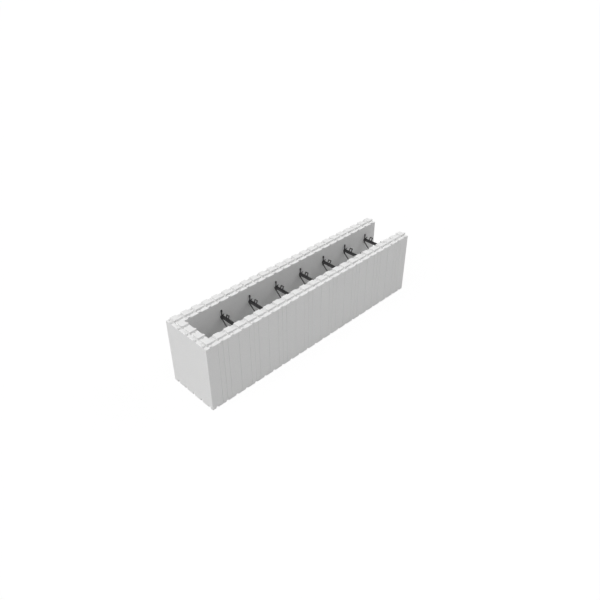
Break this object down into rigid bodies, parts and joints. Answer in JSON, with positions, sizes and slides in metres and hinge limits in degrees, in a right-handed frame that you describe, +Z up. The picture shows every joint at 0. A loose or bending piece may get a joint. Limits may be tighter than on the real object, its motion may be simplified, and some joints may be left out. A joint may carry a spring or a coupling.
{
  "type": "insulating concrete form block",
  "caption": "U-shaped foam formwork block with interlocking lugs, its two long walls held apart by moulded-in plastic web ties with rebar seats; concrete is poured into its core.",
  "frame": {"origin": "middle of the underside, on the floor", "axes": "+X along the wall from the closed end to the open end, +Y from the near long wall to the far one, +Z up"},
  "size_m": [1.2, 0.25, 0.309],
  "materials": {
    "foam": "matte moulded bead foam",
    "tie_plastic": "satin moulded plastic"
  },
  "bodies": {
    "root": {"foam_form": "foam", "web_tie_1": "tie_plastic", "web_tie_2": "tie_plastic", "web_tie_3": "tie_plastic", "web_tie_4": "tie_plastic", "web_tie_5": "tie_plastic", "web_tie_6": "tie_plastic", "web_tie_7": "tie_plastic"}
  },
  "joints": []
}
